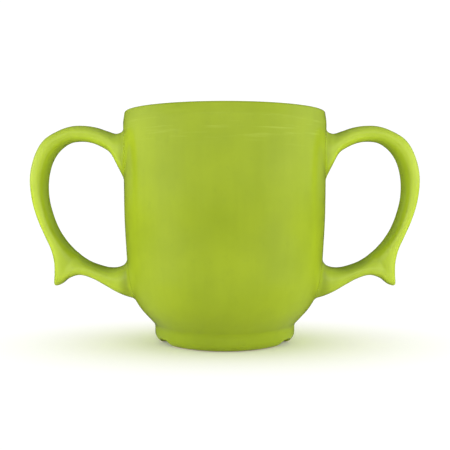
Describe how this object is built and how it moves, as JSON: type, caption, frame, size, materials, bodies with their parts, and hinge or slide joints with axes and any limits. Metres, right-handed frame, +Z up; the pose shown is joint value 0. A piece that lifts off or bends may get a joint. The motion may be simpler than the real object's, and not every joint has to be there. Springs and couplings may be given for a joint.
{
  "type": "two-handled ceramic cup",
  "caption": "Open glazed ceramic cup with a large ear-shaped handle on each side, each ending in a downward spur, standing on a foot ring.",
  "frame": {"origin": "centre of the foot ring's underside, on the table the cup stands on", "axes": "+Z up out of the open mouth, +X through the right handle, -Y towards the front"},
  "size_m": [0.155, 0.0804, 0.0902],
  "materials": {
    "body_glaze": "gloss",
    "handle_glaze": "gloss",
    "joint_glaze": "gloss"
  },
  "bodies": {
    "root": {"mug_body": "body_glaze", "left_handle": "handle_glaze", "right_handle": "handle_glaze", "left_upper_slip_joint": "joint_glaze", "left_lower_slip_joint": "joint_glaze", "right_upper_slip_joint": "joint_glaze", "right_lower_slip_joint": "joint_glaze"}
  },
  "joints": []
}
